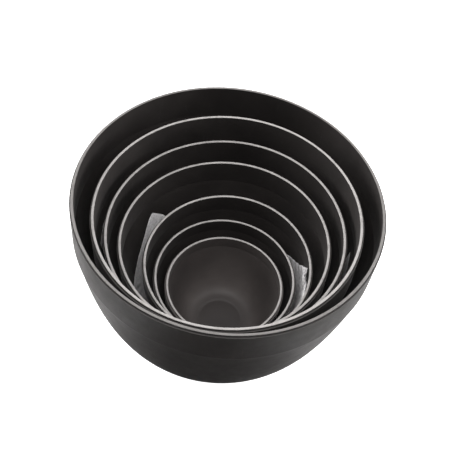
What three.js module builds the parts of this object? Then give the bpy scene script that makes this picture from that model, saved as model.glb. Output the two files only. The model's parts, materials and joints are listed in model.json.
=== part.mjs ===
// A nest of seven round bowls, each standing in the next larger one, with three thin
// separator sheets tucked between them. Millimetres, +Z up. The origin is the centre
// of the underside of the largest bowl.
import * as THREE from 'three';

const SEGMENTS = 48;

// The shape that all the bowls share: an upright collar, a crease under it, and a body
// that curves in to a flat base. Each is a share of the bowl's radius or height.
const CREASE_RADIUS = 0.989;
const CREASE_HEIGHT = 0.777;
const BODY_BEND_RADIUS = 0.961;
const BODY_BEND_HEIGHT = 0.71;
const BELLY_RADIUS = 0.859;
const BASE_RADIUS = 0.485;
const BODY_STEPS = 5;

// The rim: a lip that stands on a narrow shoulder. The wall is a little thicker there.
const LIP_HEIGHT = 1.8;
const SHOULDER_WIDTH = 1.2;
const SHOULDER_CHAMFER = 0.4;
const RIM_THICKENING = 0.6;

// The underside: a foot ring round a shallow recess.
const FOOT_RING_WIDTH = 6;
const FOOT_RECESS = 0.8;

// The separator sheets lie along the inside of the bowl that holds them.
const SHEET_THICKNESS = 0.6;
const SHEET_CLEARANCE = 0.55;
const SHEET_CELL = 9;

// Each bowl: outer radius, whole height, wall thickness, the centre of its base, and
// its lean in degrees about X and Y. Inside the largest one the nest has
// slid forward, so the smaller bowls stand nearer to its front wall and lean a little.
const BOWLS = [
  { name: 'bowl_240', radius: 120, height: 142.7, wall: 2.6, base: [0, 0, 0], lean: [0, 0] },
  { name: 'bowl_207', radius: 103.4, height: 132.4, wall: 2.6, base: [5, -11, 5.1], lean: [-0.5, -2.1] },
  { name: 'bowl_187', radius: 93.5, height: 109.3, wall: 2.6, base: [5.9, -11.1, 11], lean: [1.4, -2.8] },
  { name: 'bowl_164', radius: 82.1, height: 99.9, wall: 2.5, base: [6.3, -17.9, 14.5], lean: [0.7, -3.1] },
  { name: 'bowl_132', radius: 66, height: 80.8, wall: 2.4, base: [7.7, -24.8, 20.4], lean: [3, -1.3] },
  { name: 'bowl_112', radius: 55.8, height: 62.4, wall: 2.3, base: [5.7, -29, 24.7], lean: [3.4, -0.5] },
  { name: 'bowl_93', radius: 46.5, height: 55.2, wall: 2.2, base: [6.3, -34.8, 28], lean: [2.5, -0.5] },
];

// Each sheet: the bowl that it lines, and its four corners when laid out flat, from the
// centre of that bowl's floor, going round.
const SHEETS = [
  {
    name: 'separator_sheet_large',
    lines: 'bowl_207',
    corners: [[-160, 18], [-156, -13], [150, -16], [163, 4]],
  },
  {
    name: 'separator_sheet_medium',
    lines: 'bowl_164',
    corners: [[-96, 60], [-96, -22], [84, -22], [78, 58]],
  },
  {
    name: 'separator_sheet_small',
    lines: 'bowl_132',
    corners: [[-72, 49], [-76, -24], [98, -24], [108, 20]],
  },
];

const MATERIALS = {
  bowl: new THREE.MeshStandardMaterial({ color: 0x37322f, roughness: 0.55, metalness: 0 }),
  sheet: new THREE.MeshStandardMaterial({ color: 0xb9b4b4, roughness: 0.9, metalness: 0 }),
};

// The outer wall from the base's edge up to the crease, as points of one curve.
function bodyCurve({ radius, height }) {
  return new THREE.CubicBezierCurve(
    new THREE.Vector2(BASE_RADIUS * radius, 0),
    new THREE.Vector2(BELLY_RADIUS * radius, 0),
    new THREE.Vector2(BODY_BEND_RADIUS * radius, BODY_BEND_HEIGHT * height),
    new THREE.Vector2(CREASE_RADIUS * radius, CREASE_HEIGHT * height),
  );
}

// The inner wall from the floor's edge up to the crease: the outer curve moved in by
// the wall's thickness.
function innerBody(bowl) {
  const curve = bodyCurve(bowl);
  const points = [];
  for (let i = 0; i <= BODY_STEPS; i += 1) {
    const along = curve.getTangent(i / BODY_STEPS);
    const inward = new THREE.Vector2(-along.y, along.x);
    points.push(curve.getPoint(i / BODY_STEPS).addScaledVector(inward, bowl.wall));
  }
  return points;
}

function outerProfile(bowl) {
  const { radius, height } = bowl;
  const foot = BASE_RADIUS * radius - FOOT_RING_WIDTH;
  const shoulder = height - LIP_HEIGHT;
  return [
    new THREE.Vector2(0, FOOT_RECESS),
    new THREE.Vector2(foot - FOOT_RECESS, FOOT_RECESS),
    new THREE.Vector2(foot, 0),
    ...bodyCurve(bowl).getPoints(BODY_STEPS),
    new THREE.Vector2(radius, shoulder - SHOULDER_CHAMFER),
    new THREE.Vector2(radius - SHOULDER_CHAMFER, shoulder),
    new THREE.Vector2(radius - SHOULDER_WIDTH, shoulder),
    new THREE.Vector2(radius - SHOULDER_WIDTH, height),
  ];
}

function innerProfile(bowl) {
  return [
    new THREE.Vector2(0, bowl.wall),
    ...innerBody(bowl),
    new THREE.Vector2(bowl.radius - bowl.wall - RIM_THICKENING, bowl.height),
  ];
}

function place(object, bowl) {
  const [leanX, leanY] = bowl.lean.map(THREE.MathUtils.degToRad);
  object.position.set(...bowl.base);
  object.rotation.set(leanX, leanY, 0, 'YXZ');
  return object;
}

function makeBowl(bowl) {
  const profile = [...outerProfile(bowl), ...innerProfile(bowl).reverse()];
  const geometry = new THREE.LatheGeometry(profile, SEGMENTS);
  geometry.rotateX(Math.PI / 2);
  const mesh = new THREE.Mesh(geometry, MATERIALS.bowl);
  mesh.name = bowl.name;
  return place(mesh, bowl);
}

// A point of the bowl's inner surface, from its flat place (x, y) measured along the
// surface from the centre of the floor, raised off that surface by a clearance.
function liningPoint(path, x, y, clearance) {
  const distance = Math.hypot(x, y);
  const share = distance / path.getLength();
  const at = path.getPointAt(share);
  const along = path.getTangentAt(share);
  const radius = at.x - along.y * clearance;
  const height = at.y + along.x * clearance;
  const angle = Math.atan2(y, x);
  return [radius * Math.cos(angle), radius * Math.sin(angle), height];
}

function makeSheet(sheet) {
  const bowl = BOWLS.find(({ name }) => name === sheet.lines);
  const path = new THREE.CurvePath();
  const wall = innerProfile(bowl);
  for (let i = 1; i < wall.length; i += 1) {
    path.add(new THREE.LineCurve(wall[i - 1], wall[i]));
  }
  const corners = sheet.corners.map(([x, y]) => new THREE.Vector2(x, y));
  const [backLeft, frontLeft, frontRight, backRight] = corners;
  const columns = Math.ceil(backLeft.distanceTo(backRight) / SHEET_CELL);
  const rows = Math.ceil(backLeft.distanceTo(frontLeft) / SHEET_CELL);
  const vertices = [];
  for (const clearance of [SHEET_CLEARANCE, SHEET_CLEARANCE + SHEET_THICKNESS]) {
    for (let row = 0; row <= rows; row += 1) {
      const left = frontLeft.clone().lerp(backLeft, row / rows);
      const right = frontRight.clone().lerp(backRight, row / rows);
      for (let column = 0; column <= columns; column += 1) {
        const { x, y } = left.clone().lerp(right, column / columns);
        vertices.push(...liningPoint(path, x, y, clearance));
      }
    }
  }
  const mesh = new THREE.Mesh(closedGrid(vertices, columns, rows), MATERIALS.sheet);
  mesh.name = sheet.name;
  return place(mesh, bowl);
}

// A closed solid between two grids of points, the lower one first: its two faces and
// a strip of quads round their edge.
function closedGrid(vertices, columns, rows) {
  const layer = (columns + 1) * (rows + 1);
  const at = (column, row) => row * (columns + 1) + column;
  const indices = [];
  const quad = (a, b, c, d) => indices.push(a, b, c, a, c, d);
  for (let row = 0; row < rows; row += 1) {
    for (let column = 0; column < columns; column += 1) {
      const [a, b] = [at(column, row), at(column + 1, row)];
      const [c, d] = [at(column + 1, row + 1), at(column, row + 1)];
      quad(a + layer, b + layer, c + layer, d + layer);
      quad(a, d, c, b);
    }
  }
  const edge = (from, to) => quad(from, to, to + layer, from + layer);
  for (let column = 0; column < columns; column += 1) {
    edge(at(column, 0), at(column + 1, 0));
    edge(at(column + 1, rows), at(column, rows));
  }
  for (let row = 0; row < rows; row += 1) {
    edge(at(columns, row), at(columns, row + 1));
    edge(at(0, row + 1), at(0, row));
  }
  const geometry = new THREE.BufferGeometry();
  geometry.setAttribute('position', new THREE.Float32BufferAttribute(vertices, 3));
  geometry.setIndex(indices);
  return geometry;
}

const nest = new THREE.Group();
nest.add(...BOWLS.map(makeBowl));
nest.add(...SHEETS.map(makeSheet));

export default nest;
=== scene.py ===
"""A nest of seven round matte bowls, with thin separator sheets tucked between them.

The CAD model is the fixed frame. Each bowl is turned again here as a fine, smooth solid
with a rounded lip, shoulder, crease and foot ring, and each sheet becomes thin creased
cloth that lies between the bowls. Everything is in metres, in the CAD model's frame.
"""
import json
import math

import bpy
import numpy as np
from mathutils import Matrix, Vector


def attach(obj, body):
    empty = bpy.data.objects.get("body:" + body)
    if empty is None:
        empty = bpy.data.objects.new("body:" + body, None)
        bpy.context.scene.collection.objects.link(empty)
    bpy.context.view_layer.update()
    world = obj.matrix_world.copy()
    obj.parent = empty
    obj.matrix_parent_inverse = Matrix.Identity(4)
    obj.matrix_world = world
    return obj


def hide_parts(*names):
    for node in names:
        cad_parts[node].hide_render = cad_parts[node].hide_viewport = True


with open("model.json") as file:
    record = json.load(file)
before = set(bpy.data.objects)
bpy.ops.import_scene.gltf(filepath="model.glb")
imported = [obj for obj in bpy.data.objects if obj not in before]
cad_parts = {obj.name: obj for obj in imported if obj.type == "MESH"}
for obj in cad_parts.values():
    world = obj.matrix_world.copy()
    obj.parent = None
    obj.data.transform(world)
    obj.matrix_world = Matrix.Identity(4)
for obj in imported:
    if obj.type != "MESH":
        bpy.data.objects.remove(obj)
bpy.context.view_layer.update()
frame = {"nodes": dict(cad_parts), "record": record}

MM = 0.001

BOWL_NODES = ["bowl_240", "bowl_207", "bowl_187", "bowl_164", "bowl_132", "bowl_112", "bowl_93"]
BODIES = frame["record"]["behaviour"]["bodies"]
BODY_OF = {node: body for body, nodes in BODIES.items() for node in nodes}

# The shape that all the bowls share, as shares of the radius or of the height.
CREASE_RADIUS = 0.989
CREASE_HEIGHT = 0.777
BODY_BEND_RADIUS = 0.961
BODY_BEND_HEIGHT = 0.71
BELLY_RADIUS = 0.859
BASE_RADIUS = 0.485
FLOOR_RING_RADIUS = 0.37
FLOOR_RING_DEPTH = 0.25 * MM
FLOOR_RING_HALF_WIDTH = 1.2 * MM
FLOOR_RING_HALF_BOTTOM = 0.5 * MM
FLOOR_RING_CLEAR = 3 * MM
LIP_HEIGHT = 1.8 * MM
SHOULDER_WIDTH = 1.2 * MM
RIM_THICKENING = 0.6 * MM
FOOT_RING_WIDTH = 6 * MM
FOOT_RECESS = 0.8 * MM
WALLS = dict(zip(BOWL_NODES, (2.6, 2.6, 2.6, 2.5, 2.4, 2.3, 2.2)))

# How much each corner of the section is rounded.
RECESS_ROUNDING = 0.6 * MM
FOOT_ROUNDING = 0.5 * MM
CREASE_ROUNDING = 1.2 * MM
SHOULDER_ROUNDING = 0.5 * MM
LEDGE_ROUNDING = 0.25 * MM
LIP_OUTER_ROUNDING = 0.35 * MM
LIP_INNER_ROUNDING = 0.45 * MM
INNER_CREASE_ROUNDING = 2 * MM

# How finely the bowls are made. An arc takes up at most a share of each side it joins.
TURNS = 192
BODY_STEPS = 28
FLOOR_STEPS = 6
ARC_STEPS = 4
ARC_SIDE_SHARE = 0.45
SAME_POINT_DIGITS = 6

# Each sheet: the bowl that it lines, the bowl that stands on it, and its back and front
# edges when laid out flat, in millimetres from the centre of the lined bowl's floor. Its
# lean away from the wall and its crumple are in millimetres too. Its pleats are their
# spacing and depth in millimetres, and their slant.
SHEETS = {
    "separator_sheet_large": {
        "lines": "bowl_207",
        "under": "bowl_187",
        "back": [(-160, 18), (163, 4)],
        "front": [(-156, -13), (150, -16)],
        "lean": 0,
        "pleats": (14, 0.3, 0.3),
        "crumple": 0.1,
        "seed": 3,
    },
    "separator_sheet_medium": {
        "lines": "bowl_164",
        "under": "bowl_132",
        "back": [(-96, 58), (-81, 64), (78, 58)],
        "front": [(-96, -22), (84, -22)],
        "lean": 1,
        "pleats": (13, 0.5, 0.5),
        "crumple": 0.15,
        "seed": 5,
    },
    "separator_sheet_small": {
        "lines": "bowl_132",
        "under": "bowl_112",
        "back": [(-72, 49), (72, 45), (112, 9)],
        "front": [(-76, -24), (98, -24)],
        "lean": 2.5,
        "pleats": (8, 1.5, -0.6),
        "crumple": 0.25,
        "seed": 8,
    },
}
SHEET_CELL = 2 * MM
SHEET_CLEARANCE = 0.8 * MM
SHEET_MARGIN = 0.5 * MM
SHEET_THICKNESS = 0.3 * MM
SHEET_LINKS = [
    ((0, 1), 0.4),
    ((1, 0), 0.4),
    ((1, 1), 0.2),
    ((-1, 1), 0.2),
    ((0, 3), 0.3),
    ((3, 0), 0.3),
    ((0, 7), 0.3),
    ((7, 0), 0.3),
]
RELAX_STEPS = 260
SETTLE_STEPS = 6

# Over the inner bowl's rim a sheet leans and crumples, and from a little below the rim
# it is loose enough to pleat. Each comes in over a fade.
LEAN_FADE = 12 * MM
LOOSE_BELOW_RIM = 22 * MM
LOOSE_FADE = 18 * MM
CRUMPLE_CELLS = 3
PLEAT_WANDER = 1.6
PLEAT_WANDER_CELLS = 6

PLASTIC_DARK = (0.0205, 0.0178, 0.0172)
PLASTIC_LIGHT = (0.0300, 0.0262, 0.0250)
PLASTIC_SCUFF = (0.060, 0.056, 0.054)
# Painted highlight: the pale grey painted on the lip's top and the shoulder's edge.
RIM_PAINTED_HIGHLIGHT = (0.38, 0.362, 0.352)
# How strong the painted highlight on the lip's top is on the largest bowl.
LARGEST_RIM_PAINTED_HIGHLIGHT = 0.5
# Painted shade: how dark the middle of the inside floor is painted, as a share of the plastic's colour.
FLOOR_PAINTED_SHADE = 0.65
# Painted light: how many times lighter the smallest bowl is painted.
SMALLEST_PAINTED_LIGHT = 3
# How strong the painted highlight on the shoulder's edge is.
SHOULDER_PAINTED_HIGHLIGHT = 0.12
LIP_TOP_BAND = 0.2 * MM
SHOULDER_EDGE_WIDTH = 0.45 * MM
SHOULDER_EDGE_DEPTH = 0.4 * MM
# Where the painted shade on the inside floor begins, as a share of the radius, and how far in it fades
# to full.
FLOOR_PAINTED_SHADE_EDGE = 0.62
FLOOR_PAINTED_SHADE_FADE = 0.3
SHEET_DARK = (0.60, 0.58, 0.585)
SHEET_LIGHT = (0.88, 0.86, 0.865)

# The plastic's and the sheets' surfaces: how shiny they are, and how wide and deep
# their marks are.
PLASTIC_ROUGHNESS = (0.5, 0.6)
PLASTIC_SPECULAR = 0.25
PLASTIC_SHEEN = 0.08
SHEEN_ROUGHNESS = 0.3
SHEEN_TINT = (1, 0.98, 0.97, 1)
CLOUD_SIZE = 35 * MM
SCUFF_SIZE = 1.1 * MM
SCUFF_STRETCH = (1, 1, 0.06)
SCUFF_STRENGTH = 0.35
# The painted highlight on the lip is broken into patches this wide, and keeps at least this share of its
# strength.
HIGHLIGHT_PATCH_SIZE = 5 * MM
HIGHLIGHT_PATCH_LOW = 0.72
SATIN_SIZE = 9 * MM
GRAIN_SIZE = 0.45 * MM
GRAIN_DEPTH = 0.06 * MM
RIPPLE_SIZE = 14 * MM
RIPPLE_DEPTH = 0.35 * MM
SHEET_ROUGHNESS = (0.8, 0.95)
SHEET_SPECULAR = 0.3
FLECK_SIZE = 1.2 * MM
FLECK_STRETCH = (1, 0.35, 1)
FIBRE_SIZE = 0.5 * MM
FIBRE_DEPTH = 0.12 * MM
CRINKLE_SIZE = 9 * MM
CRINKLE_DEPTH = 0.9 * MM

# The stage: the white sweep's section, then the table and the dark card that the light
# meets (the card a painted shadow under the bowls' fronts), each as its low corner, its high corner, its
# height and how pale it is.
SWEEP = [(0, 0), (6, 0), (7, 0.3), (7.7, 1), (8, 2), (8, 9), (0, 12)]
SWEEP_TURNS = 64
SWEEP_PALENESS = 0.9
SWEEP_GLOW = 1
TABLE = ((-3, -3), (3, 3), -0.4 * MM, 0.9)
# Painted shadow: a dark card, unseen by the camera, standing in for the shade under the bowls' fronts.
PAINTED_SHADOW_CARD = ((-0.1, -0.9), (0.1, 0.12), -0.2 * MM, 0.01)
STAGE_ROUGHNESS = 0.8

# The studio: which way its bright side lies, how it fades from the dim side to the
# bright one, and each light's name, place, target, size and power.
BRIGHT_SIDE = (-0.25, 0.8, 0.35)
STUDIO_FADE = (-0.6, 0.7)
STUDIO_STRENGTH = (0.02, 0.6)
LIGHTS = [
    ("key", (-1.3, 0.5, 0.45), (0, 0, 0.05), (0.9, 0.9), 34),
    ("fill", (1.3, 0.4, 0.4), (0, 0, 0.05), (0.9, 0.9), 26),
    ("overhead", (0.1, -0.4, 1.6), (0, 0, 0.1), (1.4, 1.2), 20),
]


# ---------------------------------------------------------------- measuring the frame

class Seat:
    """Where a bowl stands: its own axes, with the origin at its base's centre."""

    def __init__(self, node):
        points = np.array([v.co for v in frame["nodes"][node].data.vertices])
        points = np.unique(points.round(SAME_POINT_DIGITS), axis=0)
        centre = points.mean(axis=0)
        values, vectors = np.linalg.eigh(np.cov((points - centre).T))
        spread = np.abs(values - np.median(values))
        up = vectors[:, spread.argmax()]
        up = up * np.sign(up[2])
        right = np.cross((0, 1, 0), up)
        right /= np.linalg.norm(right)
        self.axes = np.stack([right, np.cross(up, right), up], axis=1)
        along = (points - centre) @ up
        away = np.linalg.norm((points - centre) - along[:, None] * up, axis=1)
        self.base = centre + along.min() * up
        self.radius = away.max()
        self.height = along.max() - along.min()
        self.wall = WALLS[node] * MM

    def matrix(self):
        placed = Matrix(self.axes.tolist()).to_4x4()
        placed.translation = Vector(self.base)
        return placed


SEATS = {node: Seat(node) for node in BOWL_NODES}


# ---------------------------------------------------------------- outlines

def bezier(p0, p1, p2, p3, steps):
    """Points along a cubic curve, and its direction at each of them."""
    t = np.linspace(0, 1, steps + 1)[:, None]
    points = (1 - t) ** 3 * p0 + 3 * (1 - t) ** 2 * t * p1 + 3 * (1 - t) * t**2 * p2 + t**3 * p3
    along = (1 - t) ** 2 * (p1 - p0) + 2 * (1 - t) * t * (p2 - p1) + t**2 * (p3 - p2)
    return points, along / np.linalg.norm(along, axis=1)[:, None]


def rounded(points, radii):
    """An open outline with its corners turned into arcs; a radius of 0 keeps a corner."""
    out = [points[0]]
    for before, corner, after, radius in zip(points, points[1:], points[2:], radii[1:]):
        if radius == 0:
            out.append(corner)
            continue
        a, b = before - corner, after - corner
        length_a, length_b = np.linalg.norm(a), np.linalg.norm(b)
        a, b = a / length_a, b / length_b
        half = math.acos(float(np.clip(a @ b, -1, 1))) / 2
        cut = min(radius / math.tan(half), ARC_SIDE_SHARE * length_a, ARC_SIDE_SHARE * length_b)
        start, end = corner + a * cut, corner + b * cut
        for i in range(ARC_STEPS + 1):
            t = i / ARC_STEPS
            out.append((1 - t) ** 2 * start + 2 * (1 - t) * t * corner + t**2 * end)
    out.append(points[-1])
    return np.array(out)


def body_curve(seat):
    """The outer wall from the base's edge up to the crease, and its direction."""
    r, h = seat.radius, seat.height
    return bezier(
        np.array([BASE_RADIUS * r, 0]),
        np.array([BELLY_RADIUS * r, 0]),
        np.array([BODY_BEND_RADIUS * r, BODY_BEND_HEIGHT * h]),
        np.array([CREASE_RADIUS * r, CREASE_HEIGHT * h]),
        BODY_STEPS,
    )


def floor_line(seat, edge):
    """The inside floor from its edge in to the axis, with a shallow groove near the middle."""
    ring = FLOOR_RING_RADIUS * seat.radius
    steps = np.linspace(edge, ring + FLOOR_RING_CLEAR, FLOOR_STEPS)[1:]
    points = [(radius, seat.wall) for radius in steps]
    bottom = seat.wall - FLOOR_RING_DEPTH
    points += [
        (ring + FLOOR_RING_HALF_WIDTH, seat.wall),
        (ring + FLOOR_RING_HALF_BOTTOM, bottom),
        (ring - FLOOR_RING_HALF_BOTTOM, bottom),
        (ring - FLOOR_RING_HALF_WIDTH, seat.wall),
    ]
    return points + [(ring / 2, seat.wall), (0, seat.wall)]


def outline(seat):
    """Half of the bowl's section, from the axis under the base round to the axis inside."""
    r, h, wall = seat.radius, seat.height, seat.wall
    foot = BASE_RADIUS * r - FOOT_RING_WIDTH
    body, along = body_curve(seat)
    inner = body + wall * np.stack([-along[:, 1], along[:, 0]], axis=1)
    ledge = r - SHOULDER_WIDTH
    shoulder = h - LIP_HEIGHT
    points = [(0, FOOT_RECESS), (foot - FOOT_RECESS, FOOT_RECESS), (foot, 0)]
    radii = [0, RECESS_ROUNDING, FOOT_ROUNDING]
    points += [tuple(p) for p in body]
    radii += [0] * (len(body) - 1) + [CREASE_ROUNDING]
    points += [(r, shoulder), (ledge, shoulder), (ledge, h), (r - wall - RIM_THICKENING, h)]
    radii += [SHOULDER_ROUNDING, LEDGE_ROUNDING, LIP_OUTER_ROUNDING, LIP_INNER_ROUNDING]
    floor = floor_line(seat, inner[0, 0])
    points += [tuple(p) for p in inner[::-1]] + floor
    radii += [INNER_CREASE_ROUNDING] + [0] * (len(inner) - 1 + len(floor))
    return rounded(np.array(points), radii)


def painted_light_of(seat, section):
    """How much painted light each point of the section gets: 1 for a painted highlight on
    the lip's top (less on the largest bowl), a little painted highlight on the shoulder's
    edge, and down to -1 for painted shade, darker towards the middle of the inside floor."""
    radius, height = section.T
    shoulder = seat.height - LIP_HEIGHT
    # Painted highlight on the lip's top, weaker on the largest bowl.
    painted_highlight = LARGEST_RIM_PAINTED_HIGHLIGHT if seat is SEATS[BOWL_NODES[0]] else 1.0
    top = height > seat.height - LIP_TOP_BAND
    edge = (radius > seat.radius - SHOULDER_EDGE_WIDTH) & (height > shoulder - SHOULDER_EDGE_DEPTH)
    inside = np.arange(len(section)) > np.argmax(height)
    # Painted shade, darker towards the middle of the inside floor.
    floor_painted_shade = np.clip((FLOOR_PAINTED_SHADE_EDGE - radius / seat.radius) / FLOOR_PAINTED_SHADE_FADE, 0, 1) * inside
    return np.where(top, painted_highlight, np.where(edge, SHOULDER_PAINTED_HIGHLIGHT, -floor_painted_shade))


def turned(name, section, painted_light, turns):
    """A closed solid turned from a section that starts and ends on the axis."""
    angles = np.linspace(0, 2 * math.pi, turns, endpoint=False)
    ring = section[1:-1]
    rings = np.stack(
        [
            np.outer(ring[:, 0], np.cos(angles)),
            np.outer(ring[:, 0], np.sin(angles)),
            np.repeat(ring[:, 1][:, None], turns, axis=1),
        ],
        axis=-1,
    )
    vertices = [(0, 0, section[0, 1]), *map(tuple, rings.reshape(-1, 3)), (0, 0, section[-1, 1])]

    def at(row, turn):
        return 1 + row * turns + turn % turns

    faces = [(0, at(0, i + 1), at(0, i)) for i in range(turns)]
    last = len(ring) - 1
    for row in range(last):
        faces += [(at(row, i), at(row, i + 1), at(row + 1, i + 1), at(row + 1, i)) for i in range(turns)]
    faces += [(at(last, i), at(last, i + 1), len(vertices) - 1) for i in range(turns)]
    piece = mesh_object(name, vertices, faces)
    # A layer of painted light per point: painted highlight above 0, painted shade below 0.
    layer = piece.data.attributes.new("painted_light", "FLOAT", "POINT")
    layer.data.foreach_set("value", [painted_light[0], *np.repeat(painted_light[1:-1], turns), painted_light[-1]])
    return piece


def mesh_object(name, vertices, faces):
    mesh = bpy.data.meshes.new(name)
    mesh.from_pydata([tuple(map(float, v)) for v in vertices], [], faces)
    mesh.validate()
    mesh.shade_smooth()
    piece = bpy.data.objects.new(name, mesh)
    bpy.context.scene.collection.objects.link(piece)
    return piece


# ---------------------------------------------------------------- the sheets

class Solid:
    """A bowl as the sheets feel it: how far a point is from its material, and which way
    out, on a grid over its section that reaches a little beside, below and above it."""

    PITCH = 0.5 * MM
    BESIDE = 8 * MM
    BELOW = 6 * MM
    ABOVE = 40 * MM
    LONGEST_MOVE = 1 * MM

    def __init__(self, seat):
        self.seat = seat
        section = outline(seat)
        radii = np.arange(0, seat.radius + self.BESIDE, self.PITCH)
        heights = np.arange(-self.BELOW, seat.height + self.ABOVE, self.PITCH)
        self.bottom = heights[0]
        grid = np.stack(np.meshgrid(radii, heights, indexing="ij"), axis=-1)
        nearest = np.full(grid.shape[:2], np.inf)
        inside = np.zeros(grid.shape[:2], bool)
        for a, b in zip(section, section[1:]):
            along = b - a
            share = np.clip((grid - a) @ along / (along @ along), 0, 1)
            gap = grid - a - share[..., None] * along
            nearest = np.minimum(nearest, np.hypot(gap[..., 0], gap[..., 1]))
            if a[1] != b[1]:
                crosses = (grid[..., 1] < a[1]) != (grid[..., 1] < b[1])
                edge = a[0] + (grid[..., 1] - a[1]) * (b[0] - a[0]) / (b[1] - a[1])
                inside ^= crosses & (grid[..., 0] < edge)
        self.distance = np.where(inside, -nearest, nearest)
        self.slope = np.stack(np.gradient(self.distance, self.PITCH), axis=-1)

    def push_out(self, points, margin):
        """Moves world points that are nearer to the material than the margin."""
        seat = self.seat
        local = (points - seat.base) @ seat.axes
        radius = np.hypot(local[..., 0], local[..., 1])
        i = np.clip((radius / self.PITCH).round().astype(int), 0, self.distance.shape[0] - 1)
        j = ((local[..., 2] - self.bottom) / self.PITCH).round().astype(int)
        j = np.clip(j, 0, self.distance.shape[1] - 1)
        short = np.clip(margin - self.distance[i, j], 0, self.LONGEST_MOVE)
        slope = self.slope[i, j]
        outward = local[..., :2] / np.maximum(radius, 1e-6)[..., None]
        move = np.concatenate([outward * slope[..., :1], slope[..., 1:]], axis=-1)
        return points + (short[..., None] * move) @ seat.axes.T


def along_line(corners, shares):
    """Points at the given shares of the length of a line through the corners."""
    corners = np.array(corners, float)
    lengths = np.hypot(*np.diff(corners, axis=0).T)
    marks = np.concatenate([[0], np.cumsum(lengths)]) / lengths.sum()
    return np.stack([np.interp(shares, marks, corners[:, axis]) for axis in (0, 1)], axis=-1)


def flat_grid(sheet):
    """The sheet laid out flat, as rows of points from its front edge to its back edge."""
    back, front = np.array(sheet["back"]) * MM, np.array(sheet["front"]) * MM
    columns = int(np.hypot(*(back[-1] - back[0])) / SHEET_CELL) + 1
    rows = int(np.hypot(*(back[0] - front[0])) / SHEET_CELL) + 1
    shares = np.linspace(0, 1, columns + 1)
    near, far = along_line(front, shares), along_line(back, shares)
    up = np.linspace(0, 1, rows + 1)[:, None, None]
    return near + (far - near) * up


def lay_on_wall(flat, seat, clearance):
    """Carries flat points onto the bowl's inside: their distance from the centre of the
    floor is kept along the wall, and so is their direction."""
    section = outline(seat)
    lip = int(np.argmax(section[:, 1]))
    while section[lip + 1, 1] >= section[lip, 1]:
        lip += 1
    wall = section[: lip - 1 : -1]
    lengths = np.hypot(*np.diff(wall, axis=0).T)
    marks = np.concatenate([[0], np.cumsum(lengths)])
    along = np.gradient(wall, marks, axis=0)
    distance = np.hypot(flat[..., 0], flat[..., 1])
    direction = flat / np.maximum(distance, 1e-6)[..., None]
    at = [np.interp(distance, marks, wall[:, axis]) for axis in (0, 1)]
    slope = [np.interp(distance, marks, along[:, axis]) for axis in (0, 1)]
    radius = at[0] - slope[1] * clearance
    height = at[1] + slope[0] * clearance + np.maximum(distance - marks[-1], 0)
    local = np.concatenate([direction * radius[..., None], height[..., None]], axis=-1)
    return local @ seat.axes.T + seat.base


def pull(points, flat, step, strength):
    """Draws each pair of points that lie a grid step apart towards their flat distance."""
    down, across = step
    rows, columns = points.shape[:2]
    a = np.s_[max(0, -down) : rows - max(0, down), : columns - across]
    b = np.s_[max(0, down) : rows - max(0, -down), across:]
    gap = points[b] - points[a]
    length = np.linalg.norm(gap, axis=-1, keepdims=True)
    rest = np.linalg.norm(flat[b] - flat[a], axis=-1, keepdims=True)
    move = strength * 0.5 * (1 - rest / np.maximum(length, 1e-9)) * gap
    shift = np.zeros_like(points)
    shift[a] += move
    shift[b] -= move
    return points + shift


def smooth_noise(shape, cell, rng):
    """Soft random hills about as wide as the given number of grid cells."""
    coarse = rng.standard_normal((shape[0] // cell + 3, shape[1] // cell + 3))
    rows = np.linspace(0, coarse.shape[0] - 1.001, shape[0])
    columns = np.linspace(0, coarse.shape[1] - 1.001, shape[1])
    i, j = rows.astype(int)[:, None], columns.astype(int)[None, :]
    u, v = (rows % 1)[:, None], (columns % 1)[None, :]
    u, v = u * u * (3 - 2 * u), v * v * (3 - 2 * v)
    near = coarse[i, j] * (1 - v) + coarse[i, j + 1] * v
    far = coarse[i + 1, j] * (1 - v) + coarse[i + 1, j + 1] * v
    return near * (1 - u) + far * u


def normals_of(points):
    across = np.gradient(points, axis=1)
    up = np.gradient(points, axis=0)
    normal = np.cross(across, up)
    return normal / np.linalg.norm(normal, axis=-1, keepdims=True)


def relaxed(sheet, flat):
    """The sheet once it has settled between its two bowls, creased where it has too
    little room to lie flat."""
    holder, guest = SEATS[sheet["lines"]], SEATS[sheet["under"]]
    solids = Solid(holder), Solid(guest)
    rng = np.random.default_rng(sheet["seed"])
    points = lay_on_wall(flat, holder, SHEET_CLEARANCE)
    rim = (guest.base + guest.axes[:, 2] * guest.height)[2]
    above = np.clip((points[..., 2] - rim) / LEAN_FADE, 0, 1)
    crease = smooth_noise(flat.shape[:2], CRUMPLE_CELLS, rng) * sheet["crumple"] * MM
    lean = above * sheet["lean"] * MM
    points = points + normals_of(points) * (crease * above + lean)[..., None]
    for _ in range(RELAX_STEPS):
        for step, strength in SHEET_LINKS:
            points = pull(points, flat, step, strength)
        for solid in solids:
            points = solid.push_out(points, SHEET_MARGIN)
    spacing, depth, slant = sheet["pleats"]
    loose = np.clip((points[..., 2] - rim + LOOSE_BELOW_RIM) / LOOSE_FADE, 0, 1)
    across = (flat[..., 0] + slant * flat[..., 1]) / (spacing * MM)
    wander = smooth_noise(flat.shape[:2], PLEAT_WANDER_CELLS, rng)
    fold = np.sin(2 * math.pi * across + PLEAT_WANDER * wander)
    points = points + normals_of(points) * (fold * loose * depth * MM)[..., None]
    for _ in range(SETTLE_STEPS):
        for solid in solids:
            points = solid.push_out(points, SHEET_MARGIN)
    return points


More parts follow.
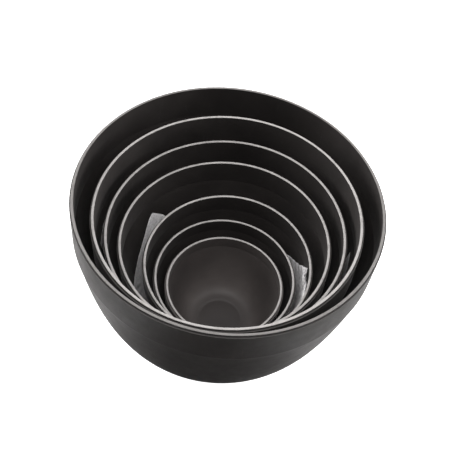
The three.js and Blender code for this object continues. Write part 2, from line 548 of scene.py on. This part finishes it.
def sheet_mesh(name, points):
    """A thin closed skin on both sides of the points."""
    rows, columns = points.shape[:2]
    offset = normals_of(points) * SHEET_THICKNESS / 2
    vertices = np.concatenate([(points - offset).reshape(-1, 3), (points + offset).reshape(-1, 3)])
    layer = rows * columns

    def at(row, column):
        return row * columns + column

    faces = []
    for row in range(rows - 1):
        for column in range(columns - 1):
            quad = [at(row, column), at(row, column + 1), at(row + 1, column + 1), at(row + 1, column)]
            faces.append([layer + k for k in quad])
            faces.append(quad[::-1])
    border = [at(0, column) for column in range(columns)]
    border += [at(row, columns - 1) for row in range(1, rows)]
    border += [at(rows - 1, column) for column in range(columns - 2, -1, -1)]
    border += [at(row, 0) for row in range(rows - 2, 0, -1)]
    for a, b in zip(border, border[1:] + border[:1]):
        faces.append([a, b, layer + b, layer + a])
    return mesh_object(name, vertices, faces)


# ---------------------------------------------------------------- materials

def noise(tree, scale, detail=2.0, roughness=0.5, stretch=(1, 1, 1)):
    """Noise in metres of the object's own space, as wide as the scale says."""
    place = tree.nodes.new("ShaderNodeTexCoord")
    mapping = tree.nodes.new("ShaderNodeMapping")
    mapping.inputs["Scale"].default_value = stretch
    texture = tree.nodes.new("ShaderNodeTexNoise")
    texture.inputs["Scale"].default_value = 1 / scale
    texture.inputs["Detail"].default_value = detail
    texture.inputs["Roughness"].default_value = roughness
    tree.links.new(place.outputs["Object"], mapping.inputs["Vector"])
    tree.links.new(mapping.outputs["Vector"], texture.inputs["Vector"])
    return texture.outputs["Fac"]


def spread(tree, value, low, high, to_low, to_high):
    node = tree.nodes.new("ShaderNodeMapRange")
    ends = zip(("From Min", "From Max", "To Min", "To Max"), (low, high, to_low, to_high))
    for name, end in ends:
        node.inputs[name].default_value = end
    tree.links.new(value, node.inputs["Value"])
    return node.outputs["Result"]


def blended(tree, share, first, second):
    """A colour between two; each is a colour or the output of another node."""
    node = tree.nodes.new("ShaderNodeMix")
    node.data_type = "RGBA"
    tree.links.new(share, node.inputs["Factor"])
    for socket, colour in (("A", first), ("B", second)):
        target = next(s for s in node.inputs if s.name == socket and s.type == "RGBA")
        if isinstance(colour, tuple):
            target.default_value = (*colour, 1)
        else:
            tree.links.new(colour, target)
    return next(s for s in node.outputs if s.type == "RGBA")


def bumped(tree, height, distance, strength, below=None):
    node = tree.nodes.new("ShaderNodeBump")
    node.inputs["Distance"].default_value = distance
    node.inputs["Strength"].default_value = strength
    tree.links.new(height, node.inputs["Height"])
    if below is not None:
        tree.links.new(below, node.inputs["Normal"])
    return node.outputs["Normal"]


def product(tree, first, second):
    node = tree.nodes.new("ShaderNodeMath")
    node.operation = "MULTIPLY"
    tree.links.new(first, node.inputs[0])
    tree.links.new(second, node.inputs[1])
    return node.outputs[0]


def plastic(name, tone):
    """Satin matte charcoal plastic: fine moulded grain, faint cloudiness and hairline
    scuffs, with a pale painted highlight or darker painted shade where the painted light
    layer says so. The tone makes it lighter; above 1 it is a painted-lit copy."""
    material = bpy.data.materials.new(name)
    material.use_nodes = True
    tree = material.node_tree
    shader = tree.nodes["Principled BSDF"]
    # The layer of painted highlight and painted shade.
    painted_light = tree.nodes.new("ShaderNodeAttribute")
    painted_light.attribute_name = "painted_light"

    clouds = noise(tree, CLOUD_SIZE, 3)
    dark, light = [tuple(tone * part for part in colour) for colour in (PLASTIC_DARK, PLASTIC_LIGHT)]
    charcoal = blended(tree, spread(tree, clouds, 0.3, 0.7, 0, 1), dark, light)
    scuffs = noise(tree, SCUFF_SIZE, 2, stretch=SCUFF_STRETCH)
    scuffed = spread(tree, scuffs, 0.66, 0.78, 0, SCUFF_STRENGTH)
    charcoal = blended(tree, scuffed, charcoal, PLASTIC_SCUFF)
    # Painted shade: the inside floor painted darker where the layer is below 0.
    painted_shade_colour = tuple(FLOOR_PAINTED_SHADE * part for part in dark)
    charcoal = blended(tree, spread(tree, painted_light.outputs["Fac"], -1, 0, 1, 0), charcoal, painted_shade_colour)
    # Painted highlight: the lip's top and the shoulder's edge painted pale, in patches.
    highlight_patches = spread(tree, noise(tree, HIGHLIGHT_PATCH_SIZE, 3), 0.25, 0.5, HIGHLIGHT_PATCH_LOW, 1)
    painted_highlight = product(tree, spread(tree, painted_light.outputs["Fac"], 0, 1, 0, 1), highlight_patches)
    tree.links.new(blended(tree, painted_highlight, charcoal, RIM_PAINTED_HIGHLIGHT), shader.inputs["Base Color"])

    roughness = spread(tree, noise(tree, SATIN_SIZE, 3), 0.3, 0.7, *PLASTIC_ROUGHNESS)
    tree.links.new(roughness, shader.inputs["Roughness"])
    shader.inputs["Specular IOR Level"].default_value = PLASTIC_SPECULAR
    shader.inputs["Sheen Weight"].default_value = PLASTIC_SHEEN
    shader.inputs["Sheen Roughness"].default_value = SHEEN_ROUGHNESS
    shader.inputs["Sheen Tint"].default_value = SHEEN_TINT

    grain = bumped(tree, noise(tree, GRAIN_SIZE, 1), GRAIN_DEPTH, 0.5)
    ripples = bumped(tree, noise(tree, RIPPLE_SIZE, 2), RIPPLE_DEPTH, 0.35, grain)
    tree.links.new(ripples, shader.inputs["Normal"])
    return material


def paper():
    """Thin pale grey non-woven sheet: flecked fibres, fine crinkles, dull surface."""
    material = bpy.data.materials.new("separator_sheet")
    material.use_nodes = True
    tree = material.node_tree
    shader = tree.nodes["Principled BSDF"]
    flecks = noise(tree, FLECK_SIZE, 4, 0.7, stretch=FLECK_STRETCH)
    colour = blended(tree, spread(tree, flecks, 0.35, 0.65, 0, 1), SHEET_DARK, SHEET_LIGHT)
    tree.links.new(colour, shader.inputs["Base Color"])
    roughness = spread(tree, flecks, 0.3, 0.7, *SHEET_ROUGHNESS)
    tree.links.new(roughness, shader.inputs["Roughness"])
    shader.inputs["Specular IOR Level"].default_value = SHEET_SPECULAR
    fibres = bumped(tree, noise(tree, FIBRE_SIZE, 3, 0.7), FIBRE_DEPTH, 0.6)
    crinkles = bumped(tree, noise(tree, CRINKLE_SIZE, 4, 0.6), CRINKLE_DEPTH, 0.5, fibres)
    tree.links.new(crinkles, shader.inputs["Normal"])
    return material


# ---------------------------------------------------------------- camera, floor, light

CAMERA_PLACE = Vector((-0.0007, -0.4748, 0.7282))
CAMERA_DIP = math.radians(52.44)
CAMERA_ROLL = math.radians(8.63)
CAMERA_LENS = 80
SENSOR = 36


def make_camera():
    camera = bpy.data.cameras.new("camera")
    camera.lens = CAMERA_LENS
    camera.sensor_width = SENSOR
    holder = bpy.data.objects.new("camera", camera)
    bpy.context.scene.collection.objects.link(holder)
    holder.matrix_world = (
        Matrix.Translation(CAMERA_PLACE)
        @ Matrix.Rotation(math.pi / 2 - CAMERA_DIP, 4, "X")
        @ Matrix.Rotation(CAMERA_ROLL, 4, "Z")
    )
    bpy.context.scene.camera = holder


def flat_stage(name, low, high, height, paleness):
    corners = [low, (high[0], low[1]), high, (low[0], high[1])]
    piece = mesh_object(name, [(x, y, height) for x, y in corners], [(0, 1, 2, 3)])
    return staged(piece, paleness, 0)


def staged(piece, paleness, emission):
    material = bpy.data.materials.new(piece.name)
    material.use_nodes = True
    shader = material.node_tree.nodes["Principled BSDF"]
    shader.inputs["Base Color"].default_value = (paleness, paleness, paleness, 1)
    shader.inputs["Roughness"].default_value = STAGE_ROUGHNESS
    shader.inputs["Emission Color"].default_value = (1, 1, 1, 1)
    shader.inputs["Emission Strength"].default_value = emission
    piece.data.materials.append(material)
    return piece


def make_floor():
    """A white sweep that the camera sees, and what the light meets instead: a pale table
    with a dark card under the front of the bowls, a painted shadow in place of the shade there, which
    keeps their front dark."""
    dome = turned("white_sweep", np.array(SWEEP, float), np.zeros(len(SWEEP)), SWEEP_TURNS)
    sweep = staged(dome, SWEEP_PALENESS, SWEEP_GLOW)
    sweep.visible_diffuse = False
    sweep.visible_glossy = False
    sweep.visible_shadow = False
    table = flat_stage("table", *TABLE)
    table.visible_camera = False
    # Painted shadow under the front of the bowls, unseen by the camera.
    card = flat_stage("painted_shadow_card", *PAINTED_SHADOW_CARD)
    card.visible_camera = False


def soft_light(name, place, target, size, power):
    light = bpy.data.lights.new(name, "AREA")
    light.shape = "RECTANGLE"
    light.size, light.size_y = size
    light.energy = power
    holder = bpy.data.objects.new(name, light)
    bpy.context.scene.collection.objects.link(holder)
    holder.location = place
    aim = Vector(target) - Vector(place)
    holder.rotation_euler = aim.to_track_quat("-Z", "Y").to_euler()


def make_light():
    """A dim studio, brighter towards the back left, under large soft lights."""
    world = bpy.data.worlds.new("studio")
    bpy.context.scene.world = world
    world.use_nodes = True
    tree = world.node_tree
    background = tree.nodes["Background"]
    background.inputs["Color"].default_value = (1, 1, 1, 1)
    place = tree.nodes.new("ShaderNodeTexCoord")
    towards = tree.nodes.new("ShaderNodeVectorMath")
    towards.operation = "DOT_PRODUCT"
    towards.inputs[1].default_value = BRIGHT_SIDE
    tree.links.new(place.outputs["Generated"], towards.inputs[0])
    strength = spread(tree, towards.outputs["Value"], *STUDIO_FADE, *STUDIO_STRENGTH)
    tree.links.new(strength, background.inputs["Strength"])
    for light in LIGHTS:
        soft_light(*light)


# ---------------------------------------------------------------- the object

def finish_piece(piece, node, material):
    piece.data.materials.append(material)
    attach(piece, BODY_OF[node])
    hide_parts(node)


def make_bowls():
    charcoal = plastic("matte_charcoal_plastic", 1)
    # A painted-lit copy of the same charcoal plastic, for the smallest bowl.
    painted_lit_charcoal = plastic("matte_charcoal_plastic_painted_lit", SMALLEST_PAINTED_LIGHT)
    for node, seat in SEATS.items():
        material = painted_lit_charcoal if node == BOWL_NODES[-1] else charcoal
        section = outline(seat)
        piece = turned("turned_" + node, section, painted_light_of(seat, section), TURNS)
        piece.matrix_world = seat.matrix()
        finish_piece(piece, node, material)


def make_sheets(material):
    for node, sheet in SHEETS.items():
        flat = flat_grid(sheet)
        piece = sheet_mesh("creased_" + node, relaxed(sheet, flat))
        smooth = piece.modifiers.new("smooth", "SUBSURF")
        smooth.levels = smooth.render_levels = 1
        finish_piece(piece, node, material)


make_camera()
make_floor()
make_light()
bpy.context.scene.view_settings.view_transform = "Standard"
make_bowls()
make_sheets(paper())
